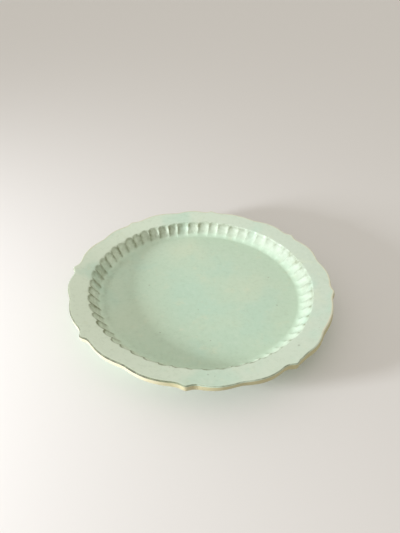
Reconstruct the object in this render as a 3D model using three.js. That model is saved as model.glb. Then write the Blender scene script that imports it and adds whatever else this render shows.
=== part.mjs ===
// A round pottery plate with a bracketed lip: eight lobes, each ending in a small
// nub, round a broad rim. Hand-cut flutes run down the wall of the well, and a coil
// of the same clay makes the foot. The clay shows at the lip and the foot, and glaze
// covers the rest.
//
// Lengths are millimetres and +Z is up. The origin is the middle of the standing
// face, so the plate rests on z = 0. One nub points along +X.

import * as THREE from 'three';

// Driving dimensions, all in millimetres unless the name says otherwise

// The outline, seen from above
const plateRadius = 106; // from the middle to the tip of a nub
const nubWidth = 18; // between the dips on both sides of a nub
const nubReach = 3.4; // how far from its tip a nub has sunk to about a third
const dipInset = 2.9; // the dips beside a nub lie this far inside its tip
const notchInset = 3.4; // the notch half way between two nubs
const lobeRise = 1.9; // how far a lobe swells past the line from dip to notch
const nubCount = 8;

// The section, from the lip inwards
const rimWidth = 18.2; // from the tip of a nub to the ridges between the flutes
const rimRise = 4.2; // the rim climbs this much on its way out to the lip
const wellDepth = 14.1; // from the lip down to the floor of the well
const wallWidth = 9.8; // the wall of the well, seen from above
const wallBend = 5.6; // as much of that width is the curve out of the floor
const lipThickness = 4.9;
const wallThickness = 5.4; // square to the wall, without the flutes
const floorThickness = 4.6;
const lipUndercut = 0.9; // the lower edge of the lip is rubbed back this far
const lipFlat = 3.2; // height of the upright part of the lip

// The flutes
const fluteCount = 56;
const fluteDepth = 2.4; // upright, in the middle of a flute

// The glaze
const glazeThickness = 0.4;
const glazeBreak = 0.5; // the glaze draws back this far from an edge
const wipedMargin = 1; // bare clay left beside the foot

// The foot
const footHeight = 4; // from the standing face to the glazed back
const footInset = 16; // from the edge of the floor to the outside of the foot
const footWidth = 7;
const footTaper = 1.2; // each side of the foot draws in this much on its way down
const footEdge = 0.6; // the rounded edges of the standing face

// Shares of a length, without a unit
const wallRowShares = [0, 0.3, 0.6, 1]; // rows of points up the wall
const fluteEndShare = 0.1; // a flute starts to sink into the wall here
const fullDepthShare = 0.6; // and is at its full depth from here up
const scoopSquareShare = 2.2; // how flat a flute is across its middle
const ridgeLossShare = 0.25; // how much of a flute's depth the ridges have lost too
const fluteRunShare = 0.5; // a flute runs past the ridges by this share of its depth
const stepSlopeShare = 2.5; // how steeply it ends there, height over width

// Points round the plate
const columnsPerFlute = 4;
const columns = fluteCount * columnsPerFlute;
const backColumns = columns / 2;

// The section as straight lines: a height at one radius, and a slope

const line = (radius, height, slope) => ({ radius, height, slope });
const heightOn = (l, radius) => l.height + l.slope * (radius - l.radius);
const lowered = (l, drop) => line(l.radius, l.height - drop, l.slope);
const meet = (a, b) => (heightOn(b, 0) - heightOn(a, 0)) / (a.slope - b.slope);

const floorHeight = footHeight + floorThickness;
const lipHeight = floorHeight + wellDepth;
const ridgeRadius = plateRadius - rimWidth;
const floorRadius = ridgeRadius - wallWidth;
const wallRise = wellDepth - rimRise;

const rimLine = line(plateRadius, lipHeight, rimRise / rimWidth);
const wallSlope = wallRise / (wallWidth - wallBend / 2);
const wallLine = line(ridgeRadius, lipHeight - rimRise, wallSlope);
const wallRun = (wallThickness * Math.hypot(wallSlope, 1)) / wallSlope;
const backFloorLine = line(0, footHeight, 0);
const backWallLine = line(ridgeRadius + wallRun, wallLine.height, wallSlope);
const backRimLine = lowered(rimLine, lipThickness);
const heelRadius = meet(backFloorLine, backWallLine);
const shoulderRadius = meet(backWallLine, backRimLine);

const footOuterRadius = floorRadius - footInset;
const footInnerRadius = footOuterRadius - footWidth;
const seatHeight = footHeight + glazeThickness;

// How far the lip stands from the middle at an angle. A lobe is an arch between a
// dip and a notch, and a nub is a bell that rises between two dips.
function lipRadius(angle) {
  const pitch = (2 * Math.PI) / nubCount;
  const turns = angle / pitch;
  const fromNub = Math.abs(turns - Math.round(turns)) * pitch;
  const nubAngle = nubWidth / 2 / plateRadius;
  const bell = Math.exp(-(((fromNub * plateRadius) / nubReach) ** 2));
  const along = Math.max(0, fromNub - nubAngle) / (pitch / 2 - nubAngle);
  const lobe = (dipInset - notchInset) * along + lobeRise * Math.sin(Math.PI * along);
  return plateRadius - dipInset + dipInset * bell + lobe;
}

// How deep the flutes are cut at an angle: least on a ridge, and most in the middle
// of a flute
function cutDepth(angle) {
  const turns = (angle / (2 * Math.PI)) * fluteCount;
  const across = turns - Math.floor(turns);
  const share = 1 - (1 - ridgeLossShare) * Math.abs(2 * across - 1) ** scoopSquareShare;
  return fluteDepth * share;
}

// A flute runs a little way past the ridges, and ends there in a steep step
const stepRadius = (cut) => ridgeRadius + fluteRunShare * cut;

// Rings of points round the axis, and the sheets of triangles between them

function ring(count, place) {
  return Array.from({ length: count }, (_, i) => {
    const angle = (2 * Math.PI * i) / count;
    const [radius, height] = place(angle);
    return [radius * Math.cos(angle), radius * Math.sin(angle), height];
  });
}

const roundRing = (count, radius, height) => ring(count, () => [radius, height]);
const pole = (height) => [[0, 0, height]];

// The triangles between two rings, the first inside the second, facing up. Where
// one ring has more points than the other, the spare ones share a point of it.
function band(inner, outer) {
  const steps = Math.max(inner.length, outer.length);
  const at = (points, i) => points[Math.round((i * points.length) / steps) % points.length];
  const triangles = [];
  for (let i = 0; i < steps; i += 1) {
    const corners = [at(inner, i), at(outer, i), at(outer, i + 1), at(inner, i + 1)];
    const [a, b, c, d] = corners;
    if (b !== c) triangles.push([a, b, c]);
    if (a !== d) triangles.push([a, c, d]);
  }
  return triangles;
}

// The triangles over a row of rings, listed from the middle outwards, facing up
function sheet(rings) {
  return rings.slice(1).flatMap((outer, i) => band(rings[i], outer));
}

const facingDown = (triangles) => triangles.map(([a, b, c]) => [a, c, b]);

function piece(name, material, triangles) {
  const corners = new Float32Array(triangles.flat(2));
  const geometry = new THREE.BufferGeometry();
  geometry.setAttribute('position', new THREE.BufferAttribute(corners, 3));
  geometry.computeVertexNormals();
  const mesh = new THREE.Mesh(geometry, material);
  mesh.name = name;
  return mesh;
}

// The face: the floor, the fluted wall and the rim. The glaze lies on top and the
// clay a glaze's thickness below it, so one set of rings gives both.

// The height of the wall without its flutes: a curve out of the floor, then straight
function wallHeight(radius) {
  const across = radius - floorRadius;
  if (across > wallBend) return heightOn(wallLine, radius);
  return floorHeight + (wallSlope * across * across) / (2 * wallBend);
}

function wallRing(share, drop) {
  return ring(columns, (angle) => {
    const cut = cutDepth(angle);
    const radius = floorRadius + share * (stepRadius(cut) - floorRadius);
    const fade = THREE.MathUtils.smoothstep(share, fluteEndShare, fullDepthShare);
    return [radius, wallHeight(radius) - cut * fade - drop];
  });
}

// The top of the steps, where the rim begins
function crestRing(drop) {
  return ring(columns, (angle) => {
    const cut = cutDepth(angle);
    const foot = stepRadius(cut);
    const radius = meet(line(foot, heightOn(wallLine, foot) - cut, stepSlopeShare), rimLine);
    return [radius, heightOn(rimLine, radius) - drop];
  });
}

function lipRing(inset, lineOfHeight) {
  return ring(columns, (angle) => {
    const radius = lipRadius(angle) - inset;
    return [radius, heightOn(lineOfHeight, radius)];
  });
}

function faceRings(drop, inset) {
  const wall = wallRowShares.map((share) => wallRing(share, drop));
  const lip = lipRing(inset, lowered(rimLine, drop));
  return [pole(floorHeight - drop), ...wall, crestRing(drop), lip];
}

// The back, the same way: the glaze lies below and the clay above it

function backRings(lift, inset) {
  return [
    roundRing(backColumns, footOuterRadius + wipedMargin, footHeight + lift),
    roundRing(backColumns, heelRadius, footHeight + lift),
    roundRing(backColumns, shoulderRadius, heightOn(backRimLine, shoulderRadius) + lift),
    lipRing(lipUndercut + inset, lowered(backRimLine, -lift)),
  ];
}

// Inside the foot the back is flat, and this is the edge of its glaze
const baseRing = (height) => roundRing(backColumns, footInnerRadius - wipedMargin, height);

const glazedFace = faceRings(0, glazeBreak);
const clayFace = faceRings(glazeThickness, 0);
const glazedBack = backRings(0, glazeBreak);
const clayBack = backRings(glazeThickness, 0);

// Materials

const glaze = new THREE.MeshStandardMaterial({ color: 0xbed4ba, roughness: 0.4, metalness: 0 });
const bareClay = new THREE.MeshStandardMaterial({ color: 0xdccba6, roughness: 0.85, metalness: 0 });

// The clay body carries everything. Its lip is bare, between the two glazes.
function clayBody() {
  const lip = ring(columns, (angle) => {
    const radius = lipRadius(angle);
    return [radius, heightOn(rimLine, radius) - lipFlat];
  });
  const back = [pole(seatHeight), baseRing(seatHeight), ...clayBack];
  return piece('clay_body', bareClay, [
    ...sheet(clayFace),
    ...sheet([clayFace.at(-1), lip, clayBack.at(-1)]),
    ...facingDown(sheet(back)),
  ]);
}

function glazeFace() {
  return piece('glaze_face', glaze, [
    ...sheet(glazedFace),
    ...sheet([glazedFace.at(-1), clayFace.at(-1)]),
    ...facingDown(sheet(clayFace)),
  ]);
}

function glazeBack() {
  return piece('glaze_back', glaze, [
    ...sheet(clayBack),
    ...sheet([clayBack.at(-1), glazedBack.at(-1)]),
    ...facingDown(sheet(glazedBack)),
    ...sheet([glazedBack[0], clayBack[0]]),
  ]);
}

// The glaze inside the foot, a thin round disc
function glazeBase() {
  return piece('glaze_base', glaze, [
    ...sheet([pole(seatHeight), baseRing(seatHeight)]),
    ...sheet([baseRing(seatHeight), baseRing(footHeight)]),
    ...facingDown(sheet([pole(footHeight), baseRing(footHeight)])),
  ]);
}

// The foot is a coil of clay joined on and turned true. Its flat top meets the clay
// of the back, and its standing face is ground flat.
function footRing() {
  const outerFoot = footOuterRadius - footTaper;
  const innerFoot = footInnerRadius + footTaper;
  const section = [
    [footInnerRadius, seatHeight],
    [innerFoot, footEdge],
    [innerFoot + footEdge, 0],
    [outerFoot - footEdge, 0],
    [outerFoot, footEdge],
    [footOuterRadius, seatHeight],
    [footInnerRadius, seatHeight],
  ];
  const outline = section.map(([radius, height]) => new THREE.Vector2(radius, height));
  const geometry = new THREE.LatheGeometry(outline, backColumns);
  geometry.rotateX(Math.PI / 2);
  const mesh = new THREE.Mesh(geometry, bareClay);
  mesh.name = 'foot_ring';
  return mesh;
}

const plate = new THREE.Group();
plate.add(clayBody(), footRing(), glazeFace(), glazeBack(), glazeBase());

export default plate;
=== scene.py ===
# %% [markdown]
# # A fluted plate in pale green glaze
#
# The plate was cut by hand: a broad rim with eight lobes and eight small nubs, a well
# with flutes carved down its wall, and a low foot. Its clay is cream and its glaze a
# pale green that breaks thin on every edge and lies thicker in every groove.
#
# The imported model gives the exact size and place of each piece. This script lays a finer
# skin over each of them, with the unevenness that a knife and a loop tool leave.
#
# Azimuths here are degrees round the plate, anticlockwise from the X axis as seen from
# above. The camera stands at 277, so 7 is the right side, 97 the far one and 187 the left.

import bpy
import numpy as np
from mathutils import Matrix, Vector


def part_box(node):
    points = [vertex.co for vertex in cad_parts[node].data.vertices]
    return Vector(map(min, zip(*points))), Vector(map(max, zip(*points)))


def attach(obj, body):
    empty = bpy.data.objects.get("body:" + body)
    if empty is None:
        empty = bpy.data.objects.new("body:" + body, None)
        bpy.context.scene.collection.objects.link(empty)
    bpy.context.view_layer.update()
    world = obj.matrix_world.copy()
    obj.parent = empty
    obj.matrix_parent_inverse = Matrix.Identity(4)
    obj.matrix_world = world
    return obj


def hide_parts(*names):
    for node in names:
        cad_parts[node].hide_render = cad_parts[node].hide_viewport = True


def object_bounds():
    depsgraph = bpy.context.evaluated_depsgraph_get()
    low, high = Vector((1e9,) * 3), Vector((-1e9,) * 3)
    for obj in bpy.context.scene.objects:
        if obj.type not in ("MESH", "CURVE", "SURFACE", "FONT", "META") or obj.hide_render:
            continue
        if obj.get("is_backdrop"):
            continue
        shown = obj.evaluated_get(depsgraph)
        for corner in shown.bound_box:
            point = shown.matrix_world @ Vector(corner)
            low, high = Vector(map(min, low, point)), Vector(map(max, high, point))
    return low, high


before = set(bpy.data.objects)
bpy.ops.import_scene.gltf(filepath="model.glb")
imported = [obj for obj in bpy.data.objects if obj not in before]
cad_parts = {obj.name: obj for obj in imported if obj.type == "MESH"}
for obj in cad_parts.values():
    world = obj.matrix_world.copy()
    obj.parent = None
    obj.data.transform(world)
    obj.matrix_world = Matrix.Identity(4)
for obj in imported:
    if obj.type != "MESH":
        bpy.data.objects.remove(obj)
cad_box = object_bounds()

mm = 0.001
full_turn = 2 * np.pi
print("box of the packed model:", [round(v / mm, 2) for corner in cad_box for v in corner], "mm")

# %% [markdown]
# ## The camera
#
# The plate is seen from 35 cm away and 38 degrees above the table, a little to one side
# of a nub. A camera could be pushed about by hand until the view fits. Here it is placed
# the way a surveyor would do it: the middle of the rim has to land on a known pixel, at a
# known distance, with a known tilt. That gives one rotation and one place, and nothing
# has to be shifted or cropped.

# %% Camera
photo_size = (400, 533)
focal_pixels = 430
middle_pixel = (201.7, 277.6)
camera_distance = 346 * mm
look_down = np.radians(37.95)
camera_roll = np.radians(1.43)
camera_turn = np.radians(6.99)
aim = Vector((0, 0, 22.3 * mm))

sight = Vector((
    (middle_pixel[0] - photo_size[0] / 2) / focal_pixels,
    (photo_size[1] / 2 - middle_pixel[1]) / focal_pixels,
    -1,
)).normalized()
rotation = (
    Matrix.Rotation(camera_turn, 3, "Z")
    @ Matrix.Rotation(np.pi / 2 - look_down, 3, "X")
    @ Matrix.Rotation(camera_roll, 3, "Z")
)
camera_place = aim - camera_distance * (rotation @ sight)

camera_data = bpy.data.cameras.new("camera")
camera_data.sensor_width = 36
camera_data.lens = camera_data.sensor_width * focal_pixels / photo_size[1]
camera_data.clip_start = 10 * mm
camera = bpy.data.objects.new("camera", camera_data)
camera.matrix_world = Matrix.Translation(camera_place) @ rotation.to_4x4()
bpy.context.scene.collection.objects.link(camera)
bpy.context.scene.camera = camera
print("lens:", round(camera_data.lens, 2), "mm, camera", round(camera.location.z / mm), "mm up")

# %% [markdown]
# ## The outline of the lip
#
# The potter marks eight nubs and cuts a bracket between each two: a small point, a dip
# beside it, a swelling lobe, and a soft notch in the middle where the two halves meet.
# A closed curve through many points could follow that, but no number in it would say what
# a nub is. Here the lip's radius is a formula of the angle, and what the eye got wrong is
# kept beside it: each nub and notch has drifted by up to 2.6 degrees and reaches its own
# distance, each half lobe swells by its own height, and one dip is shallow.

# %% Outline
plate_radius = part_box("clay_body")[1].x
nub_count = 8
nub_spacing = full_turn / nub_count
dip_reach = 9 * mm
nub_reach = 3.4 * mm
dip_inset = 2.9 * mm
notch_softness = 0.06

nub_drift = np.radians([0.2, 0.4, 2.3, 2.5, 2.0, 0.7, 2.2, -1.2])
notch_drift = np.radians([-0.2, 0.5, -1.3, -0.7, 0.1, 0.1, -0.5, -2.6])
nub_rise = mm * np.array([1.6, 1.9, 1.9, 1.6, 2.5, 2.8, 2.0, 2.8])
notch_inset = mm * np.array([3.1, 3.2, 2.7, 3.0, 2.7, 3.8, 1.9, 2.8])
lobe_rise = mm * np.array([
    1.6, 2.3, 2.1, 1.3, 2.0, 2.1, 1.3, 2.0,
    1.9, 1.5, 1.6, 1.8, 1.8, 2.1, 1.9, 0.9,
])
shallow_dip_angle = np.radians(317.3)
shallow_dip_reach = 4.5 * mm
shallow_dip_rise = 1.5 * mm
mark_drift = np.stack([nub_drift, notch_drift], axis=1).ravel()
mark_angle = np.arange(2 * nub_count) * nub_spacing / 2 + mark_drift


def rounded(value, width):
    """The size of a value with its corner at zero rounded off: the root of its square and
    the width's square together, less the width."""
    return np.sqrt(value ** 2 + width ** 2) - width


def bell(distance, width):
    """A bell curve: one over e raised to the square of the distance over the width, so it is
    1 at no distance and about a third one width away."""
    return np.exp(-(distance / width) ** 2)


def lip_radius(angle):
    """How far the lip stands out: the dip's radius, plus a bell for the nub, plus a bell
    where one dip is shallow, plus a straight line from the dip to the notch, plus half a
    wave for the lobe. The drift of nubs and notches is taken out of the angle first."""
    even = angle - np.interp(angle, mark_angle, mark_drift, period=full_turn)
    nub = np.round(even / nub_spacing).astype(int)
    from_nub = np.abs(even - nub * nub_spacing)
    notch = np.floor(even / nub_spacing).astype(int)
    half = np.floor(2 * even / nub_spacing).astype(int)
    dip_angle = dip_reach / plate_radius
    to_notch = np.clip((nub_spacing / 2 - from_nub) / (nub_spacing / 2 - dip_angle), 0, 1)
    along = 1 - rounded(to_notch, notch_softness)

    point = nub_rise[nub % nub_count] * bell(from_nub * plate_radius, nub_reach)
    from_dip = (angle % full_turn - shallow_dip_angle) * plate_radius
    fill = shallow_dip_rise * bell(from_dip, shallow_dip_reach)
    lean = (dip_inset - notch_inset[notch % nub_count]) * along
    lobe = lobe_rise[half % len(lobe_rise)] * np.sin(np.pi * np.clip(along, 0, 1))
    return plate_radius - dip_inset + point + fill + lean + lobe


# %% [markdown]
# ## Where the flutes run
#
# Fifty-six strokes of a loop tool go round the wall. One flute could be modelled and
# copied round, but a hand doesn't space them like a machine: each ridge is a little early
# or late, and each scoop a little deep or shallow. So all flutes lie on one grid, whose
# columns follow the drifting ridges and crowd together beside them. A ridge then stays
# crisp and always falls on a line of points.

# %% Columns of points round the plate
flute_count = 56
first_ridge = np.radians(1.35)
ridge_wander = 0.045
ridge_drift = np.radians([1.3, 0.8, 1.5, 2.4, -0.6, -0.7, 0.2, 0.7])
column_shares = np.array([0, 0.025, 0.06, 0.11, 0.19, 0.32, 0.5, 0.68, 0.81, 0.89, 0.94, 0.975])

chance = np.random.default_rng(seed=8)
flute_pitch = full_turn / flute_count
drift_angle = np.arange(len(ridge_drift)) * full_turn / len(ridge_drift)
ridge_angle = first_ridge + flute_pitch * np.arange(flute_count)
ridge_angle += np.interp(ridge_angle, drift_angle, ridge_drift, period=full_turn)
ridge_angle += flute_pitch * chance.normal(0, ridge_wander, flute_count)
flute_angle = np.diff(ridge_angle, append=ridge_angle[0] + full_turn)

angle = (ridge_angle[:, None] + flute_angle[:, None] * column_shares).ravel()
across = np.tile(column_shares, flute_count)
lip = lip_radius(angle)


def per_flute(values):
    """One value for each flute, for all its columns."""
    return np.repeat(values, len(column_shares))


def per_ridge(values):
    """One value for each ridge, running evenly to the next ridge's in between."""
    return per_flute(values) * (1 - across) + per_flute(np.roll(values, -1)) * across


print("columns:", len(angle))
print("lip from", round(lip.min() / mm, 2), "to", round(lip.max() / mm, 2), "mm out")

# %% [markdown]
# ## The section of the face
#
# From the middle outwards: a floor dished by half a millimetre, a wall that curves up out
# of it and then runs straight, a rounded crest, and a rim that climbs gently to the lip
# and sways a little, as the kiln left it. A profile spun round the axis would do for a
# plain plate. Here the height is a function of the radius and the angle together, which
# takes no more work and leaves room for the sway and the flutes.

# %% Section of the face
rim_width = 18.2 * mm
rim_slope = 0.215
rim_sway = 0.1 * mm
crest_width = 2 * mm
crest_drop = 0.3 * mm
crest_overrun = 1.5
well_depth = 14.1 * mm
wall_width = 9.8 * mm
wall_bend = 5.6 * mm
floor_thickness = 4.6 * mm
floor_dish = 0.5 * mm
ridge_scatter = 0.25 * mm

back_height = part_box("glaze_base")[0].z
floor_height = back_height + floor_thickness
lip_height = floor_height + well_depth
floor_radius = plate_radius - rim_width - wall_width
rim_rise = rim_slope * rim_width + crest_drop
wall_slope = (well_depth - rim_rise) / (wall_width - wall_bend / 2)
ridge_radius = plate_radius - rim_width + per_ridge(chance.normal(0, ridge_scatter, flute_count))

# Two waves and three smaller ones round the plate, mostly downwards, so the lip stays in its box
sway = np.sin(2 * angle + 0.8) + 0.6 * np.sin(3 * angle + 2.1) - 1.1


def smoothstep(value, start, end):
    """A ramp from 0 at the start to 1 at the end, level at both."""
    share = np.clip((value - start) / (end - start), 0, 1)
    return share * share * (3 - 2 * share)


def rim_height(radius):
    """A gentle slope up to the lip, with a slow sway round the plate, less a parabola that
    rounds the rim off over the last millimetres before the wall."""
    short = np.clip((ridge_radius + crest_width - radius) / crest_width, 0, crest_overrun)
    slope = rim_slope * (plate_radius - radius)
    return lip_height - slope - crest_drop * short ** 2 + rim_sway * sway


def wall_height(radius):
    """The floor's height plus the wall's rise times a curve that is a parabola over the
    bend and a straight line from there on, less the dish of the floor."""
    rise = rim_height(ridge_radius) - floor_height
    share = (radius - floor_radius) / (ridge_radius - floor_radius)
    bend = wall_bend / wall_width
    curve = np.where(share < bend, np.maximum(share, 0) ** 2 / (2 * bend), share - bend / 2)
    dish = floor_dish * (1 - np.clip(radius / floor_radius, 0, 1) ** 2) ** 2
    return floor_height + rise * curve / (1 - bend / 2) - dish


print("wall", round(wall_slope, 2), "times as high as wide, lip", round(lip_height / mm, 1), "mm up")

# %% [markdown]
# ## The flutes
#
# The loop tool takes a scoop out of the wall and is lifted out just past the ridges, so
# each flute ends in a small steep step. On the left the strokes run out further over the
# rim, and on the far right they end softly, in a slope instead of a step. Fifty-six cuts
# with a Boolean modifier would leave ragged faces. Instead, the face is the lower of two
# surfaces, the rim and the scooped wall, and the edge between them is blended, because
# glaze never keeps a sharp edge.

# %% How each stroke differs
flute_cut = 2.4 * mm
flute_run = 0.8
extra_run = 0.9 * mm


def toward(azimuth, start, full):
    """How far each column lies toward an azimuth in degrees: a smooth ramp of the cosine of
    the angle between them, 0 at the cosine called start and 1 at the one called full."""
    return smoothstep(np.cos(angle - np.radians(azimuth)), start, full)


long_flutes = toward(195, start=0.1, full=0.8)
longest_flutes = toward(152, start=0.85, full=0.97)
soft_side = toward(50, start=0.3, full=0.9)

flute_depth = per_flute(flute_cut * chance.uniform(0.8, 1.15, flute_count))
flute_lean = per_flute(chance.uniform(0.2, 0.6, flute_count))
flute_foot = per_flute(chance.uniform(0.05, 0.15, flute_count))
flute_top = per_flute(mm * chance.uniform(1.2, 2.2, flute_count)) * (0.5 + 0.5 * long_flutes)
flute_top += extra_run * longest_flutes
print("flutes cut", round(flute_depth.min() / mm, 1), "to", round(flute_depth.max() / mm, 1), "mm deep")

# %% Flutes
scoop_power = 2.2
ridge_softness = 0.15
ridge_blend = 2.0 * mm
step_blend = 0.3 * mm
crisp_slope = 2.5
slope_lost = 1.7
step_slope = crisp_slope - slope_lost * soft_side


def scoop(across):
    """How deep a flute is cut across its width, from 0 on a ridge to 1 in the middle: one
    less the distance from the middle raised to a power, with its ridge rounded off. The
    middle leans to one side, as the hand does."""
    leaning = across + flute_lean * across * (1 - across)
    cut = 1 - np.abs(2 * leaning - 1) ** scoop_power
    return rounded(cut, ridge_softness) / rounded(1, ridge_softness)


def fluted_height(radius):
    """The wall less the scoop, which sinks in over the lower part of the wall, plus a
    straight climb where the tool is lifted out past the ridges."""
    share = (radius - floor_radius) / (ridge_radius - floor_radius)
    cut = flute_depth * scoop(across) * smoothstep(share, flute_foot, flute_foot + flute_run)
    lift = np.maximum(radius - ridge_radius - flute_top, 0) * step_slope
    return wall_height(radius) - cut + lift


def face_height(radius):
    """The lower of rim and fluted wall, less a quarter of how far each reaches into a band
    round the edge between them, squared over the band."""
    rim = rim_height(np.maximum(radius, floor_radius))
    wall = fluted_height(radius)
    band = step_blend + ridge_blend * (1 - scoop(across)) ** 2
    overlap = np.maximum(band - np.abs(rim - wall), 0)
    return np.minimum(rim, wall) - overlap ** 2 / (4 * band)


# %% Where the flutes end
# A walk outwards from the ridges finds, for each column, where the wall meets the rim
walk_start = -0.5 * mm
walk_length = 3.5 * mm
walk_points = 141

walk = ridge_radius + np.linspace(walk_start, walk_start + walk_length, walk_points)[:, None]
below = fluted_height(walk) < rim_height(walk)
crest_radius = ridge_radius + below.mean(axis=0) * walk_length + walk_start
print("crest from", round(crest_radius.min() / mm, 1), "to", round(crest_radius.max() / mm, 1), "mm out")

# %% [markdown]
# ## From rows and columns to a closed piece
#
# Every piece here is one section carried round the plate. The Screw modifier could spin
# it, but only the same section all the way round. Here a grid holds its points, one row
# for each place on the section and one column for each angle. The rows go outwards over
# the top and inwards underneath, so all faces point out. A section that starts and ends
# on the axis is closed there by a fan of triangles, and one that doesn't is a ring, whose
# last row joins its first.

# %% Rows of points
flute_swing = np.radians(1.3)


def around(radius, height):
    """Points of a grid from their distance to the axis and their height. On the wall the
    columns swing round a little on their way down, as a wrist does on its way in."""
    radius, height = np.broadcast_arrays(radius, height)
    way_down = np.clip((plate_radius - rim_width - radius) / wall_width, 0, 1)
    turned = angle + flute_swing * way_down
    return np.stack([radius * np.cos(turned), radius * np.sin(turned), height], axis=-1)


def rows_of(*pairs):
    """Stacks radius and height pairs into one grid, each pair one row or several."""
    full = 0 * angle
    grids = [around(np.atleast_2d(radius + full), np.atleast_2d(height + full))
             for radius, height in pairs]
    return np.concatenate(grids)


# %% Grid to mesh
def closed_piece(name, grid, poles=()):
    """A mesh over a grid: four-sided faces between neighbours, and two fans where the
    first and last rows close on the axis, at the heights given as poles."""
    rows, columns = grid.shape[:2]
    last = rows - 1 if poles else rows
    row, column = np.meshgrid(np.arange(last), np.arange(columns), indexing="ij")
    row_after, column_after = (row + 1) % rows, (column + 1) % columns
    corners = [(row, column), (row_after, column), (row_after, column_after), (row, column_after)]
    faces = np.stack([r * columns + c for r, c in corners], axis=-1).reshape(-1, 4).tolist()
    points = grid.reshape(-1, 3)
    if poles:
        start, end = np.arange(columns), (rows - 1) * columns + np.arange(columns)
        first, final = len(points) + np.zeros((2, columns), int) + [[0], [1]]
        faces += np.stack([first, start, np.roll(start, -1)], axis=1).tolist()
        faces += np.stack([final, np.roll(end, -1), end], axis=1).tolist()
        points = np.vstack([points, [[0, 0, height] for height in poles]])
    mesh = bpy.data.meshes.new(name)
    mesh.from_pydata(points, [], faces)
    mesh.shade_smooth()
    piece = bpy.data.objects.new(name, mesh)
    bpy.context.scene.collection.objects.link(piece)
    print(name, "points:", len(points), "faces:", len(faces))
    return piece


def paint(piece, name, values, rest):
    """Stores one number for each point of the grid, in the grid's order, and the rest's
    number for all points that come after them."""
    mesh = piece.data
    spare = len(mesh.vertices) - values.size
    numbers = np.concatenate([values.ravel(), np.full(spare, rest)])
    mesh.attributes.new(name, "FLOAT", "POINT").data.foreach_set("value", numbers)


# %% [markdown]
# ## The glaze on the face
#
# The glaze is dipped on, so it wraps over the edge of the lip and stops in a bead on its
# side, a shorter bead on the near right. On the arris, the edge itself, it is a thin film.
# A Solidify modifier could thicken the face, but the coat would be as thick on the arris as
# anywhere. So both skins of the coat are rows of one grid: the one that shows, and one
# that lies on the clay.

# %% Rows over the face
glaze_thickness = 0.4 * mm
glaze_film = 0.12 * mm
bead_thickness = 0.34 * mm
arris_roll = 0.6 * mm
step_reach = 0.4 * mm
row_crowding = 1.3


def face_radii(floor_rows, wall_rows, step_rows, rim_rows):
    """Rows over the face: even ones on the floor, then ones that crowd towards the top of
    the flutes, a few over the step there, and ones that spread out again over the rim."""
    floor_share = np.linspace(0, 1, floor_rows + 1)[1:-1, None]
    wall_share = 1 - (1 - np.linspace(0, 1, wall_rows)[:, None]) ** row_crowding
    step_share = np.linspace(0, 1, step_rows + 1)[1:, None]
    rim_share = np.linspace(0, 1, rim_rows + 1)[1:, None] ** row_crowding
    step_start = crest_radius - step_reach
    step_end = crest_radius + step_reach / 2
    rim_end = lip - bead_thickness + glaze_film - arris_roll
    return np.vstack([
        floor_share * floor_radius + 0 * angle,
        floor_radius + wall_share * (step_start - floor_radius),
        step_start + step_share * (step_end - step_start),
        step_end + rim_share * (rim_end - step_end),
    ])


def arris(turn, roll, inset, drop):
    """A quarter round over the edge of the lip, from the rim at no turn to the side at a
    quarter turn, this far inside the outline and this far below the rim."""
    radius = lip - inset - roll * (1 - np.sin(turn))
    return radius, rim_height(radius) - drop - roll * (1 - np.cos(turn))


def lip_side(drop, inset):
    """A row on the side of the lip, this far below the rim's height there."""
    return lip - inset, rim_height(lip) - drop


# %% Glaze on the face
near_right = toward(320, start=0.3, full=0.8)
bead_length = mm * (1.05 - 0.5 * near_right)
bead_droop = 1.4

face_rows = face_radii(floor_rows=10, wall_rows=28, step_rows=7, rim_rows=18)
turns = np.linspace(0, np.pi / 2, 8)[1:, None]
bead_share = np.linspace(0, 1, 9)[1:, None]
bead_swell = np.sin(np.pi * bead_share ** bead_droop)
bead_inset = (bead_thickness - glaze_film) * (1 - bead_swell)
skin = rows_of(
    (face_rows, face_height(face_rows)),
    arris(turns, arris_roll, inset=bead_thickness - glaze_film, drop=0),
    lip_side(arris_roll + bead_length * bead_share, bead_inset),
    lip_side(arris_roll + bead_length, bead_thickness),
)

under_rows = face_radii(floor_rows=4, wall_rows=14, step_rows=3, rim_rows=6)
under = rows_of(
    arris(turns[::-2], arris_roll, inset=bead_thickness, drop=glaze_thickness),
    (under_rows[::-1], face_height(under_rows[::-1]) - glaze_thickness),
)

middle_height = floor_height - floor_dish
glaze_poles = (middle_height, middle_height - glaze_thickness)
face_grid = np.concatenate([skin, under])
glaze_on_face = closed_piece("glaze_on_face", face_grid, glaze_poles)

# %% [markdown]
# ## How thick the glaze lies, and where shade is painted
#
# While it melts, the glaze creeps: it draws back from an edge and gathers in a groove, and
# its colour follows. A noise texture could hint at that, and an image could be painted by
# hand, but the grid already knows where each ridge and step is. So every point of it
# carries a number called pool_and_shade: 0 where the glaze breaks, 0.5 for an even coat, 1
# where it pools, and more where it lies deepest. The material turns the number into
# colour, so it holds from every side. In places the same number also carries painted
# shade, a darker colour put where shade falls.
#
# On the wall the colour is a little darker all over, most on the far side and at the
# left: partly a thicker coat and partly painted shade, set side by side round the plate.
# On the left a dark line runs down beside each ridge, partly glaze gathered there and
# partly painted shade in the crease, and at the left and right the colour is darker
# along the foot of the wall.

# %% Thick glaze and painted shade on the wall
even_coat = 0.5
wall_coat_and_shade = 0.105
ridge_pool_and_shade = 0.19
ridge_shift = 0.07
ridge_reach = 0.14
foot_shift = 0.7 * mm
foot_reach = 4.8 * mm

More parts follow.
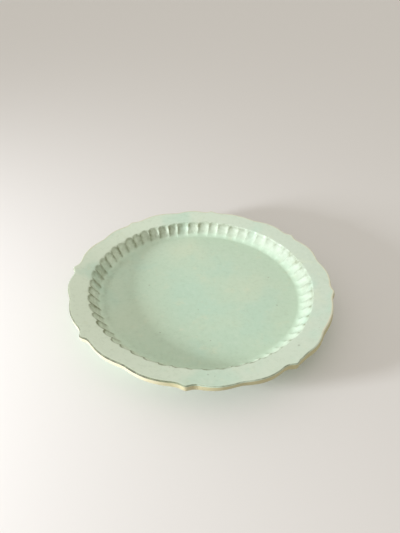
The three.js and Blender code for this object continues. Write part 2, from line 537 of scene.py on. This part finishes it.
# One number per point: how thick the glaze lies, and in places painted shade
pool_and_shade = np.full(face_grid.shape[:2], even_coat)
rows = len(face_rows)
wall_share = (face_rows - floor_radius) / (crest_radius - floor_radius)
on_wall = smoothstep(wall_share, 0.2, 0.5) * smoothstep(crest_radius - face_rows, -2 * mm, 0.5 * mm)
upper_wall = smoothstep(wall_share, 0.5, 0.9)

lined = toward(170, start=0.1, full=0.8)
far_side = toward(105, start=0.6, full=1)
far_right = toward(82, start=0.85, full=0.96)
left_side = toward(200, start=0.75, full=0.95)

past_ridge = np.where(across < 0.5, across, across - 1)
ridge_line = bell(past_ridge + ridge_shift, ridge_reach)
ridge_line = ridge_line * per_ridge(chance.uniform(0.5, 1, flute_count))

# Thicker coat and painted shade: each side of the wall is darkened by its own amount
wall_fill = wall_coat_and_shade + 0.03 * lined + 0.045 * far_side + 0.02 * soft_side
wall_fill = on_wall * (wall_fill + ridge_pool_and_shade * lined * ridge_line)
wall_fill -= 0.03 * upper_wall * on_wall * far_right
wall_fill += 0.045 * on_wall * left_side

# Darker along the foot of the wall at the left and at the right
foot_dark_sides = 0.145 * toward(187, start=0.7, full=0.95) + 0.09 * toward(30, start=0.8, full=0.97)
foot_darkness = foot_dark_sides * bell(face_rows - floor_radius - foot_shift, foot_reach)
pool_and_shade[:rows] += np.maximum(wall_fill, foot_darkness)
print("glaze on the wall up to", round(pool_and_shade.max(), 2))

# %% [markdown]
# Along the crest the colour darkens twice. The tops of the ridges are darker, and the
# crest behind them carries a painted shade, everywhere but on the left. And the foot of the
# steps is darker, partly glaze gathered there and partly painted shade of the steps: on
# the near side, where the rim hides the foot, only a dash shows at one side of each
# flute, and elsewhere the whole arc does, faint at the right and clearer at the left.

# %% Darker ridges, and painted shade on the crest and steps
ridge_top_darkening = 0.16
crest_shift = 0.4 * mm
crest_reach = 1.6 * mm
step_pool_and_shade = 0.27
step_width = 0.8 * mm
dash_place = 0.25
dash_width = 0.22

ridge_top = bell(face_rows - ridge_radius + 1.2 * mm * soft_side, mm * (1.6 + 1.2 * soft_side))
ridge_top *= (1 - lined) * (1 - 0.45 * soft_side)
# Painted shade along the crest, behind the ends of the flutes
crest_shade = bell(face_rows - crest_radius + crest_shift, crest_reach) * (1 - lined)
pool_and_shade[:rows] += (0.03 + 0.03 * far_side) * crest_shade + ridge_top_darkening * ridge_top * ridge_line

# Partly glaze gathered at the foot of the steps, partly painted shade of the steps
stepped = 0.1 + 0.9 * toward(255, start=0.3, full=0.85)
stepped += 0.25 * toward(158, start=0.6, full=0.92)
stepped += 0.1 * toward(40, start=0.3, full=0.9)
behind_rim = toward(262, start=0.2, full=0.6)
step_place = crest_radius + mm * (behind_rim - 0.7)
dash = 0.3 + 0.8 * bell(across - dash_place, dash_width)
arc = (0.4 + 0.6 * scoop(across)) * (1.1 - 0.6 * across)
step_foot = bell(face_rows - step_place, step_width) * stepped
step_foot *= (arc + behind_rim * (dash - arc)) * per_flute(chance.uniform(0.6, 1, flute_count))
pool_and_shade[:rows] += step_pool_and_shade * step_foot
print("glaze in the steps up to", round(pool_and_shade.max(), 2))

# %% [markdown]
# At the lip the clay's edge shows through. On the far half and at the right the arris
# itself is bare of colour. On the near half the glaze has run over it, so the arris is
# green, a faint line lies just inside it, and the roll below is dark, most of all on the
# near left, where it faces the window. The bead is dark too, and pale at the right.

# %% Thin and thick glaze at the lip
arris_loss = 0.4
arris_reach = 1.7 * mm
line_coat = 0.12
line_width = 0.5 * mm
bead_coat = 0.4

right_edge = toward(350, start=0.85, full=0.97)
facing_window = toward(235, start=0.75, full=0.95)
far_half = 0.15 + 0.85 * smoothstep(np.sin(angle), -0.3, 0.2)
bare_arris = np.maximum(far_half, right_edge)
from_lip = lip - face_rows
pool_and_shade[:rows] -= arris_loss * bell(from_lip, arris_reach) * bare_arris
pool_and_shade[:rows] += line_coat * bell(from_lip - arris_roll, line_width) * (1 - bare_arris)

roll_rows = slice(rows, rows + len(turns))
roll_rise = np.sin(turns) ** (0.2 + 0.5 * bare_arris)
roll_pool = 0.36 + 0.4 * bare_arris - 0.45 * right_edge - 0.08 * near_right
pool_and_shade[roll_rows] = even_coat - arris_loss * bare_arris + roll_pool * roll_rise
pool_and_shade[roll_rows] += bead_coat * facing_window * roll_rise ** 4

bead_rows = slice(roll_rows.stop, roll_rows.stop + len(bead_share) + 1)
pool_and_shade[bead_rows] = 0.9 - 0.24 * near_right - 0.5 * right_edge + bead_coat * facing_window
paint(glaze_on_face, "pool_and_shade", pool_and_shade, even_coat)
print("pool from", round(pool_and_shade.min(), 2), "to", round(pool_and_shade.max(), 2))

# %% [markdown]
# The rim and the wall are paler than the floor, because the glaze ran off them into the
# well. At the left the edge of the floor is painted a little pale too, a painted light on
# the floor where the wall shades it. The pale colour is clean at the left and turns greyer
# towards the right, a painted shade on the side the window lights, which evens out its
# light on the rim. These are two more numbers.

# %% Pale rim, with painted light and painted shade
painted_light_azimuth = 193
floor_light_start = 55 * mm
floor_light_end = 72 * mm

paleness_and_light = np.ones(face_grid.shape[:2])
# Painted light: at the left, the floor's edge in the shade of the wall is painted paler
floor_edge_light = smoothstep(face_rows, floor_light_start, floor_light_end)
pale_wall = smoothstep(wall_share, 0.2, 0.7)
paleness_and_light[:rows] = pale_wall + 0.25 * floor_edge_light * (1 - pale_wall) * lined
# Painted shade: the rim turns greyer towards the right, where the window lights it
shade_greyness = 0.5 - 0.45 * np.cos(angle - np.radians(painted_light_azimuth))
paint(glaze_on_face, "paleness_and_light", paleness_and_light, 0)
paint(glaze_on_face, "shade_greyness", np.broadcast_to(shade_greyness, face_grid.shape[:2]), 0)
print("greyness from", round(shade_greyness.min(), 2), "to", round(shade_greyness.max(), 2))

# %% [markdown]
# ## The clay body
#
# The clay lies under all the glaze and shows in one place, the band round the side of the
# lip. The band differs as the knife went: thicker on the near side, leaning outwards at the
# right. Below it the edge is rubbed round with a wet thumb, least on the near right. The
# body could be a solid plate with the glaze pressed into it. But two pieces that cross
# show it at every edge, so its upper skin follows the glaze from below, and its back
# follows the glaze of the back.

# %% Section of the back
wall_thickness = 5.4 * mm
back_blend = 3 * mm
foot_width = 7 * mm
wiped_margin = 1 * mm
flat_margin = 6 * mm

lip_thickness = 4.9 * mm
lip_mark = np.radians([200, 235, 262, 275, 289, 303, 316, 335, 350, 375])
lip_change = mm * np.array([0, 0.7, 1.0, 1.3, 0, 1.2, 1.4, 1.2, 1.0, 0])
lip_depth = lip_thickness + np.interp(angle, lip_mark, lip_change, period=full_turn)

wall_run = wall_thickness * np.hypot(wall_slope, 1) / wall_slope
foot_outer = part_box("foot_ring")[1].x
foot_inner = foot_outer - foot_width


def back_section(radius):
    """The underside: the higher of the flat back and the wall's outside, but never above
    the underside of the rim, with both corners blended."""
    wall = lip_height - rim_rise + wall_slope * (radius - (plate_radius - rim_width) - wall_run)
    over = np.maximum(back_blend - np.abs(wall - back_height), 0)
    turned = np.maximum(wall, back_height) + over ** 2 / (4 * back_blend)
    rim = rim_height(np.maximum(radius, floor_radius)) - lip_depth
    under_rim = np.maximum(back_blend - np.abs(rim - turned), 0)
    return np.minimum(rim, turned) - under_rim ** 2 / (4 * back_blend)


def back_height_at(radius):
    """The underside, kept exactly flat round the foot, where the foot ring sits."""
    flat = smoothstep(radius, foot_outer + wiped_margin, foot_outer + flat_margin)
    return back_height + flat * (back_section(radius) - back_height)


print("lip", round(lip_depth.min() / mm, 1), "to", round(lip_depth.max() / mm, 1), "mm thick")

# %% Bare band of the lip
clay_inset = bead_thickness
lower_roll = 0.8 * mm
bead_overlap = 0.1 * mm
bulge_height = 0.16 * mm
lip_undercut = mm * (0.9 - 0.6 * toward(330, start=0.2, full=0.9))
lip_slant = mm * toward(345, start=0.8, full=0.97)

band_share = np.linspace(0, 1, 12)[:, None]
band_top = arris_roll + bead_length - bead_overlap
band_bottom = lip_depth - lower_roll - glaze_thickness
band_bulge = bulge_height * np.sin(np.pi * band_share)
band_inset = clay_inset - band_bulge - lip_slant * band_share
band_height = (band_bottom - band_top) / mm
print("bare band", round(band_height.min(), 1), "to", round(band_height.max(), 1), "mm high")

# %% Clay body
lower_turns = np.linspace(0, np.pi / 2, 7)[1:, None]
lower_inset = (lip_undercut + lip_slant) * (1 - np.cos(lower_turns))
back_start = lip - clay_inset - lip_undercut
back_share = np.linspace(0, 1, 24)[1:, None]
back_rows = back_start + back_share * (foot_inner - back_start)

clay_grid = rows_of(
    (under_rows, face_height(under_rows) - glaze_thickness),
    arris(turns[1::2], arris_roll, inset=bead_thickness, drop=glaze_thickness),
    lip_side(band_top + band_share * (band_bottom - band_top), band_inset),
    (
        lip - clay_inset + lip_slant - lower_inset,
        rim_height(lip) - band_bottom - lower_roll * np.sin(lower_turns),
    ),
    (back_rows, back_height_at(back_rows) + glaze_thickness),
)
clay_poles = (middle_height - glaze_thickness, back_height + glaze_thickness)
clay_body = closed_piece("clay_under_glaze", clay_grid, clay_poles)
# Painted shade: the near right of the lip, away from the window, is painted darker
paint(clay_body, "toast_and_shade", np.broadcast_to(near_right, clay_grid.shape[:2]), 0)

# %% [markdown]
# ## Glaze on the back, and the foot
#
# Below, the same glaze covers the back from just inside the lip to just short of the
# foot, and a round patch of it lies inside the foot. The foot itself is a coil of clay,
# turned true on a wheel and wiped bare, because a glazed foot would stick to the kiln.
# One surface with two colours could stand for all three, but the wiped edges are real
# steps, so each coat is a closed piece with a rounded edge of its own.

# %% Glaze on the back
back_margin = 0.5 * mm
back_edge = back_start - back_margin
foot_edge = foot_outer + wiped_margin
half_coat = glaze_thickness / 2
coat_share = np.linspace(0, 1, 40)[:, None]
coat_rows = foot_edge + coat_share * (back_edge - foot_edge)
edge_turns = np.linspace(0, np.pi, 7)[1:-1, None]

outer_edge = (
    back_edge + half_coat * np.sin(edge_turns),
    back_height_at(back_edge) + half_coat + half_coat * np.cos(edge_turns),
)
inner_edge = (
    foot_edge - half_coat * np.sin(edge_turns),
    back_height + half_coat - half_coat * np.cos(edge_turns),
)
glaze_on_back = closed_piece("glaze_on_back", rows_of(
    (coat_rows, back_height_at(coat_rows) + glaze_thickness),
    outer_edge,
    (coat_rows[::-1], back_height_at(coat_rows[::-1])),
    inner_edge,
))
paint(glaze_on_back, "pool_and_shade", np.empty(0), even_coat)

# %% Glaze inside the foot
base_radius = foot_inner - wiped_margin
base_share = np.linspace(0, 1, 14)[1:, None]
base_rows = base_share * (base_radius - half_coat)
base_edge = (
    base_radius - half_coat + half_coat * np.sin(edge_turns),
    back_height + half_coat + half_coat * np.cos(edge_turns),
)
base_poles = (back_height + glaze_thickness, back_height)
glaze_in_foot = closed_piece("glaze_inside_foot", rows_of(
    (base_rows, back_height + glaze_thickness),
    base_edge,
    (base_rows[::-1], back_height),
), base_poles)
paint(glaze_in_foot, "pool_and_shade", np.empty(0), even_coat)

# %% Foot ring
foot_taper = 1.2 * mm
foot_round = 0.9 * mm
groove_depth = 0.05 * mm
groove_waves = 5
foot_top = back_height + glaze_thickness
outer_foot = foot_outer - foot_taper
inner_foot = foot_inner + foot_taper

side_share = np.linspace(0, 1, 8)[:, None]
foot_turns = np.linspace(0, np.pi / 2, 6)[1:-1, None]
sunk, risen = 1 - np.cos(foot_turns), 1 - np.sin(foot_turns)
groove = groove_depth * np.sin(side_share * groove_waves * np.pi)
face_width = inner_foot + 2 * foot_round - outer_foot
turned_foot = closed_piece("turned_foot", rows_of(
    (foot_outer - foot_taper * side_share + groove, foot_top - side_share * (foot_top - foot_round)),
    (outer_foot - foot_round * sunk, foot_round * risen),
    (outer_foot - foot_round + side_share * face_width, 0),
    (inner_foot + foot_round * risen, foot_round * sunk),
    (inner_foot - foot_taper * side_share - groove, foot_round + side_share * (foot_top - foot_round)),
))

# %% [markdown]
# ## Helpers for the finishes
#
# A finish is a small network of nodes. It could be drawn in the shader editor, but a
# script can be read and run again. These helpers keep each network short enough to read:
# one turns a colour as it looks on a screen into the linear numbers that light works with,
# one adds a node with its settings, and one starts a node group with its sockets.

# %% Colours and nodes
def shade(red, green, blue):
    """A colour from its three screen values out of 255, made linear and opaque."""
    share = np.array([red, green, blue]) / 255
    linear = np.where(share > 0.04045, ((share + 0.055) / 1.055) ** 2.4, share / 12.92)
    return (*linear.tolist(), 1.0)


def add(tree, kind, inputs=None, **settings):
    """Adds a node. Inputs are numbers, colours or other nodes' sockets, by name or place."""
    node = tree.nodes.new(kind)
    for key, value in settings.items():
        setattr(node, key, value)
    for key, value in (inputs or {}).items():
        if isinstance(value, bpy.types.NodeSocket):
            tree.links.new(value, node.inputs[key])
        else:
            node.inputs[key].default_value = value
    return node


# %% Sums, ramps, mixes and noise
def math(tree, operation, *values, clamp=False):
    """One sum on numbers or sockets."""
    inputs = dict(enumerate(values))
    return add(tree, "ShaderNodeMath", inputs, operation=operation, use_clamp=clamp).outputs[0]


def times(tree, first, second):
    """Two numbers or sockets multiplied."""
    return math(tree, "MULTIPLY", first, second)


def ramp(tree, value, start, end):
    """A smooth step of a value, from 0 at the start to 1 at the end."""
    inputs = {"Value": value, "From Min": start, "From Max": end}
    node = add(tree, "ShaderNodeMapRange", inputs, interpolation_type="SMOOTHSTEP")
    return node.outputs["Result"]


def mix(tree, amount, first, second):
    """Two colours mixed by an amount."""
    inputs = {0: amount, 6: first, 7: second}
    return add(tree, "ShaderNodeMix", inputs, data_type="RGBA").outputs[2]


def noise(tree, place, size, detail=2.0, roughness=0.5):
    """Noise whose clouds are about this many metres across."""
    inputs = {"Vector": place, "Scale": 1 / size, "Detail": detail, "Roughness": roughness}
    return add(tree, "ShaderNodeTexNoise", inputs).outputs["Fac"]


# %% Node groups
NUMBER, COLOUR, PLACE = "NodeSocketFloat", "NodeSocketColor", "NodeSocketVector"


def new_group(name, inputs, outputs):
    """Starts a node group and returns it with the nodes that hold its inputs and outputs."""
    group = bpy.data.node_groups.new(name, "ShaderNodeTree")
    for label, kind in inputs.items():
        group.interface.new_socket(label, in_out="INPUT", socket_type=kind)
    for label, kind in outputs.items():
        group.interface.new_socket(label, in_out="OUTPUT", socket_type=kind)
    return group, group.nodes.new("NodeGroupInput").outputs, group.nodes.new("NodeGroupOutput").inputs


# %% [markdown]
# ## Specks
#
# Iron in the clay bleeds through the glaze as small dark specks, bubbles leave pinholes,
# and the bare clay has dark grains. A thresholded noise would give blots of every size.
# Here space is cut into cells, a few of the cells are chosen, and each chosen cell gets a
# dot near its middle, so number and size are set apart. The group puts out a mask, and
# each material decides what the dot does.

# %% Specks
specks, given, result = new_group(
    "specks", {"Place": PLACE, "Spacing": NUMBER, "Size": NUMBER, "Share": NUMBER}, {"Mask": NUMBER}
)
spread = math(specks, "DIVIDE", 1.0, given["Spacing"])
cells = add(specks, "ShaderNodeTexVoronoi", {"Vector": given["Place"], "Scale": spread})
pick = add(specks, "ShaderNodeSeparateColor", {0: cells.outputs["Color"]}).outputs
chosen = math(specks, "LESS_THAN", pick["Red"], given["Share"])
reach = times(specks, given["Size"], math(specks, "ADD", 0.5, pick["Green"]))
distance = times(specks, cells.outputs["Distance"], given["Spacing"])
dot = math(specks, "SUBTRACT", 1.0, math(specks, "DIVIDE", distance, reach), clamp=True)
specks.links.new(times(specks, chosen, dot), result["Mask"])


def speckle(tree, place, spacing, size, share):
    """Places the specks in a tree: cells this far apart, and dots of about this radius in this
    share of them."""
    inputs = {"Place": place, "Spacing": spacing, "Size": size, "Share": share}
    return add(tree, "ShaderNodeGroup", inputs, node_tree=specks).outputs["Mask"]


# %% [markdown]
# ## The glaze
#
# The green comes and goes in soft clouds: cooler where the glaze is a touch thicker,
# warmer where the clay shows through. On the rim it is pale, and grey where shade is painted
# on it. Where it breaks over an edge it is almost the colour of the clay, and in a bead or a
# groove it turns olive, and nearly black where it lies deepest; the same olive also stands
# for painted shade. One mix in each material would do the same, but as a group it is built
# once, and the material gives it the seven colours and the masks.

# %% Glaze group: clouds and depth
deepest_olive = shade(66, 70, 48)

glaze_colours = ("Mint", "Pale", "Grey", "Cool", "Warm", "Thin", "Pooled")
glaze_masks = ("Pool_and_shade", "Paleness_and_light", "Shade_greyness", "Coolness", "Warmth", "Iron")
glaze_inputs = {"Place": PLACE, **{label: NUMBER for label in glaze_masks}}
glaze_inputs.update({label: COLOUR for label in glaze_colours})
glaze, given, result = new_group(
    "clouded glaze", glaze_inputs, {"Colour": COLOUR, "Roughness": NUMBER, "Height": NUMBER}
)
place = given["Place"]
clouds = noise(glaze, place, 34 * mm, detail=3.0)
drifts = noise(glaze, place, 11 * mm, detail=4.0, roughness=0.6)
grain = noise(glaze, place, 1.1 * mm, detail=3.0)

coolness = math(glaze, "ADD", given["Coolness"], ramp(glaze, clouds, 0.52, 0.72), clamp=True)
warmth = math(glaze, "ADD", given["Warmth"], ramp(glaze, drifts, 0.56, 0.8), clamp=True)
# The grey is painted shade on the rim's window-lit right side
rim_colour = mix(glaze, given["Shade_greyness"], given["Pale"], given["Grey"])
colour = mix(glaze, given["Paleness_and_light"], given["Mint"], rim_colour)
colour = mix(glaze, times(glaze, coolness, 0.5), colour, given["Cool"])
colour = mix(glaze, times(glaze, warmth, 0.6), colour, given["Warm"])

wander = times(glaze, math(glaze, "SUBTRACT", drifts, 0.5), 0.2)
broken = math(glaze, "SUBTRACT", noise(glaze, place, 2.5 * mm), 0.5)
over = math(glaze, "MAXIMUM", math(glaze, "SUBTRACT", given["Pool_and_shade"], 0.55), 0.0)
wander = math(glaze, "ADD", wander, times(glaze, times(glaze, broken, over), 1.2))
depth = math(glaze, "ADD", given["Pool_and_shade"], wander)
pooled_and_shaded = ramp(glaze, depth, 0.55, 0.9)
thin = math(glaze, "SUBTRACT", 1.0, ramp(glaze, depth, 0.08, 0.42))
# The olive stands for thick glaze, and for painted shade where the number carries it
colour = mix(glaze, pooled_and_shaded, colour, given["Pooled"])
colour = mix(glaze, ramp(glaze, depth, 0.95, 1.35), colour, deepest_olive)
colour = mix(glaze, thin, colour, given["Thin"])

# %% Glaze group: specks and mottle
iron_brown = shade(120, 104, 74)
spot_brown = shade(112, 112, 84)
pale_mottle = shade(236, 240, 226)
dark_mottle = shade(140, 156, 126)
white = shade(255, 255, 255)

iron = speckle(glaze, place, spacing=9 * mm, size=0.55 * mm, share=0.16)
mottle = noise(glaze, place, 3.2 * mm, detail=4.0, roughness=0.65)
colour = mix(glaze, times(glaze, iron, 0.75), colour, iron_brown)
colour = mix(glaze, times(glaze, given["Iron"], 0.7), colour, spot_brown)
colour = mix(glaze, times(glaze, ramp(glaze, mottle, 0.5, 0.75), 0.12), colour, pale_mottle)
colour = mix(glaze, times(glaze, ramp(glaze, mottle, 0.5, 0.3), 0.12), colour, dark_mottle)
colour = mix(glaze, times(glaze, grain, 0.06), colour, white)
glaze.links.new(colour, result["Colour"])

# %% Glaze group: gloss and relief
pinholes = speckle(glaze, place, spacing=2.6 * mm, size=0.22 * mm, share=0.12)
matt = times(glaze, math(glaze, "ADD", drifts, thin), 0.16)
matt = math(glaze, "ADD", matt, times(glaze, pooled_and_shaded, 0.45))
glaze.links.new(math(glaze, "ADD", matt, 0.33), result["Roughness"])
relief = math(glaze, "ADD", times(glaze, grain, 0.25), drifts)
relief = math(glaze, "SUBTRACT", relief, times(glaze, pinholes, 1.5))
glaze.links.new(relief, result["Height"])
print("glaze group:", len(glaze.nodes), "nodes")

# %% [markdown]
# ## Spots and patches of this plate
#
# Some marks belong to this plate alone: eight larger iron spots, three cool patches and
# three warm ones. They could be painted on an image, but then the plate would need that
# image. A patch is just a place, a reach and a strength: a group measures how far a point
# lies from the middle of the patch, frays that with noise, and ramps it into a mask.

# %% Soft patches
# Each mark: x, y and reach in mm, then its strength from 0 to 1
iron_spots = (
    (-23.7, -51.3, 0.8, 0.7), (13.9, -53.3, 0.8, 0.7), (15.7, -25.9, 0.7, 0.8),
    (30.1, -10.4, 0.7, 0.7), (61.8, -8, 0.8, 0.7), (21.1, -93.4, 0.7, 0.9),
    (16.6, -92.5, 1.1, 0.5), (75, -58.9, 1.3, 0.7),
)
cool_patches = ((-4, -15, 34, 0.8), (-14, 8, 26, 0.6), (26, -52, 22, 0.5))
warm_patches = ((-22, 53, 26, 0.8), (40, 8, 30, 0.55), (-44, -40, 30, 0.4))
print(len(iron_spots), "spots,", len(cool_patches + warm_patches), "patches")

patch_group, given, result = new_group(
    "soft patch", {"Place": PLACE, "Middle": PLACE, "Reach": NUMBER}, {"Mask": NUMBER}
)
ends = {0: given["Place"], 1: given["Middle"]}
offset = add(patch_group, "ShaderNodeVectorMath", ends, operation="DISTANCE").outputs["Value"]
ragged = noise(patch_group, given["Place"], 16 * mm, detail=3.0)
ragged = math(patch_group, "SUBTRACT", ragged, 0.5)
reach_share = math(patch_group, "DIVIDE", offset, given["Reach"])
uneven = math(patch_group, "ADD", reach_share, times(patch_group, ragged, 0.9))
patch_group.links.new(ramp(patch_group, uneven, 1.0, 0.15), result["Mask"])


def patches(tree, place, spots):
    """The sum of soft patches, each lying on the floor or on the slope of the rim."""
    total = 0.0
    for x, y, reach, strength in spots:
        radius = np.hypot(x, y) * mm
        on_rim = lip_height - rim_slope * (plate_radius - radius)
        height = floor_height if radius < floor_radius else on_rim
        inputs = {"Place": place, "Middle": (x * mm, y * mm, height), "Reach": reach * mm}
        mask = add(tree, "ShaderNodeGroup", inputs, node_tree=patch_group).outputs["Mask"]
        total = math(tree, "ADD", times(tree, mask, strength), total)
    return total


# %% [markdown]
# ## The glaze as a material
#
# The finish is a satin gloss with a relief of a few hundredths of a millimetre. The
# Principled shader stays in the material, and the group feeds its colour, its roughness
# and the height of the bump. The same function makes any material out of a group that has
# these outputs, so the clay uses it too.

# %% Materials from a group
def surface_material(name, group, painted, colours, bump, marks=()):
    """A material whose colour, roughness and bump come from a group. Painted names the inputs
    that read the piece's own numbers, colours sets others, marks puts soft patches on the
    rest, and bump holds its strength and height."""
    material = bpy.data.materials.new(name)
    material.use_nodes = True
    tree = material.node_tree
    shader = tree.nodes["Principled BSDF"]
    place = add(tree, "ShaderNodeTexCoord").outputs["Object"]
    surface = add(tree, "ShaderNodeGroup", {"Place": place, **colours}, node_tree=group)
    for label in painted:
        number = add(tree, "ShaderNodeAttribute", attribute_name=label.lower())
        tree.links.new(number.outputs["Fac"], surface.inputs[label])
    for label, spots in marks:
        tree.links.new(patches(tree, place, spots), surface.inputs[label])
    strength, height = bump
    inputs = {"Height": surface.outputs["Height"], "Strength": strength, "Distance": height}
    relief = add(tree, "ShaderNodeBump", inputs)
    tree.links.new(surface.outputs["Colour"], shader.inputs["Base Color"])
    tree.links.new(surface.outputs["Roughness"], shader.inputs["Roughness"])
    tree.links.new(relief.outputs["Normal"], shader.inputs["Normal"])
    print(name, "has", len(tree.nodes), "nodes")
    return material


# %% Glaze materials
glaze_tones = {
    "Mint": shade(193, 216, 189),
    "Pale": shade(222, 235, 211),
    "Grey": shade(194, 208, 187),
    "Cool": shade(182, 215, 192),
    "Warm": shade(209, 219, 189),
    "Thin": shade(216, 204, 170),
    "Pooled": shade(122, 130, 96),
}
glaze_numbers = ("Pool_and_shade", "Paleness_and_light", "Shade_greyness")
glaze_bump = (0.6, 0.05 * mm)
face_marks = (("Coolness", cool_patches), ("Warmth", warm_patches), ("Iron", iron_spots))

glaze_look = (glaze, glaze_numbers, glaze_tones, glaze_bump)
face_glaze = surface_material("face_glaze", *glaze_look, face_marks)
back_glaze = surface_material("back_glaze", *glaze_look)
glaze_on_face.data.materials.append(face_glaze)
glaze_on_back.data.materials.append(back_glaze)
glaze_in_foot.data.materials.append(back_glaze)

# %% [markdown]
# ## The bare clay
#
# Fired cream clay is dry and slightly open, with fine grit and a few dark grains in it,
# and the fire has toasted it in soft patches. On the near right, the side away from the
# window, it is darker still: a painted shade in the toasted colour. A plain colour would do
# from afar, but the band at the lip is what the eye goes to, so grit and grains are noise
# and specks at their real size, the toasting is noise, and the painted shade is a number
# painted on the piece.

# %% Bare clay
clay_tree, given, result = new_group(
    "gritty clay", {"Place": PLACE, "Toast_and_shade": NUMBER, "Clay": COLOUR, "Toasted_and_shaded": COLOUR},
    {"Colour": COLOUR, "Roughness": NUMBER, "Height": NUMBER},
)
grit_brown = shade(150, 126, 88)
grain_brown = shade(104, 84, 58)
place = given["Place"]
blush = noise(clay_tree, place, 14 * mm, detail=3.0)
grit = noise(clay_tree, place, 0.7 * mm, detail=4.0, roughness=0.7)
grains = speckle(clay_tree, place, spacing=1.6 * mm, size=0.2 * mm, share=0.15)
# Toasted patches from noise, plus the painted shade of the near right
toast_and_shade = times(clay_tree, ramp(clay_tree, blush, 0.4, 0.7), 0.4)
toast_and_shade = math(clay_tree, "ADD", toast_and_shade, given["Toast_and_shade"], clamp=True)
colour = mix(clay_tree, toast_and_shade, given["Clay"], given["Toasted_and_shaded"])
colour = mix(clay_tree, times(clay_tree, grit, 0.22), colour, grit_brown)
colour = mix(clay_tree, grains, colour, grain_brown)
clay_tree.links.new(colour, result["Colour"])
clay_tree.links.new(math(clay_tree, "ADD", times(clay_tree, grit, 0.2), 0.7), result["Roughness"])
clay_tree.links.new(grit, result["Height"])

clay_bump = (0.7, 0.08 * mm)
lip_tones = {"Clay": shade(214, 208, 180), "Toasted_and_shaded": shade(192, 187, 147)}
foot_tones = {"Clay": shade(224, 208, 172), "Toasted_and_shaded": shade(204, 180, 140)}
for piece, name, tones in ((clay_body, "lip_clay", lip_tones), (turned_foot, "foot_clay", foot_tones)):
    material = surface_material(name, clay_tree, ("Toast_and_shade",), tones, clay_bump)
    piece.data.materials.append(material)

# %% [markdown]
# ## What each piece stands for
#
# Each skin replaces the plain solid of the same piece and rides on the one rigid body;
# the slot of its finish is listed beside it.

# %% Pieces
for piece, node, slot in (
    (glaze_on_face, "glaze_face", "glaze"),
    (clay_body, "clay_body", "bare_clay"),
    (glaze_on_back, "glaze_back", "glaze"),
    (glaze_in_foot, "glaze_base", "glaze"),
    (turned_foot, "foot_ring", "bare_clay"),
):
    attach(piece, "root")
    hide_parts(node)

# %% [markdown]
# ## Floor and light
#
# A pale floor catches the plate's shadow. One small window stands low on the left, a
# little to the near side: it leaves the left wall of the well in shade, lights the right
# one and picks out every ridge. The rest comes from a pale sky all round, a little
# brighter on the far side. Three lamps could do the same, but a window and a sky
# are easy to balance: a white surface lying flat gets 30 parts of its light from the
# window and 70 from the sky, which makes it white, so a colour looks as it is written.

# %% Floor
floor_size = 4.0
floor_mesh = bpy.data.meshes.new("floor")
corners = np.array([[-1, -1, 0], [1, -1, 0], [1, 1, 0], [-1, 1, 0]]) * floor_size
floor_mesh.from_pydata(corners, [], [(0, 1, 2, 3)])
floor = bpy.data.objects.new("floor", floor_mesh)
bpy.context.scene.collection.objects.link(floor)
floor_material = bpy.data.materials.new("floor")
floor_material.use_nodes = True
floor_shader = floor_material.node_tree.nodes["Principled BSDF"]
floor_shader.inputs["Base Color"].default_value = shade(228, 225, 220)
floor_shader.inputs["Roughness"].default_value = 0.9
floor_mesh.materials.append(floor_material)
floor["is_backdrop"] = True
print("floor:", 2 * floor_size, "m wide")

# %% Window
window_share = 0.3
window_distance = 0.7
window_azimuth = np.radians(210)
window_height = np.radians(12.5)
window_size = 0.1
window_tint = (0.89, 0.92, 1.0)

toward_window = Vector((
    np.cos(window_height) * np.cos(window_azimuth),
    np.cos(window_height) * np.sin(window_azimuth),
    np.sin(window_height),
))

# A lamp of this many watts gives a flat white surface at the origin all of its light
full_energy = np.pi ** 2 * window_distance ** 2 / np.sin(window_height) / np.mean(window_tint)
window_data = bpy.data.lights.new("window", "AREA")
window_data.shape = "SQUARE"
window_data.size = window_size
window_data.color = window_tint
window_data.energy = window_share * full_energy
window = bpy.data.objects.new("window", window_data)
window.location = window_distance * toward_window
window.rotation_euler = toward_window.to_track_quat("Z", "Y").to_euler()
bpy.context.scene.collection.objects.link(window)
print("window:", round(window_data.energy, 1), "watts")

# %% Sky
sky_share = 0.7
sky_azimuth = np.radians(70)
sky_contrast = 0.2
sky_tint = (1.0, 0.965, 0.91, 1.0)

world = bpy.data.worlds.new("sky")
world.use_nodes = True
bpy.context.scene.world = world
tree = world.node_tree
background = tree.nodes["Background"]
seen = add(tree, "ShaderNodeLightPath").outputs["Is Camera Ray"]
direction = add(tree, "ShaderNodeTexCoord").outputs["Generated"]
bright_side = (np.cos(sky_azimuth), np.sin(sky_azimuth), 0)
sideways = add(tree, "ShaderNodeVectorMath", {0: direction, 1: bright_side}, operation="DOT_PRODUCT")
swing = times(tree, sideways.outputs["Value"], sky_share * sky_contrast)
strength = math(tree, "ADD", swing, sky_share)
strength = add(tree, "ShaderNodeMix", {0: seen, 2: strength, 3: 1.0}).outputs[0]
tree.links.new(strength, background.inputs["Strength"])
tree.links.new(mix(tree, seen, sky_tint, white), background.inputs["Color"])
bpy.context.scene.view_settings.view_transform = "Standard"
print("light shares: window", window_share, "sky", sky_share)

# %% Size of the visual model
sizes = {"cad": [list(corner) for corner in cad_box], "visual": [list(corner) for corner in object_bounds()]}
for label, box in sizes.items():
    print(label, "box in mm:", [[round(v / mm, 2) for v in corner] for corner in box])
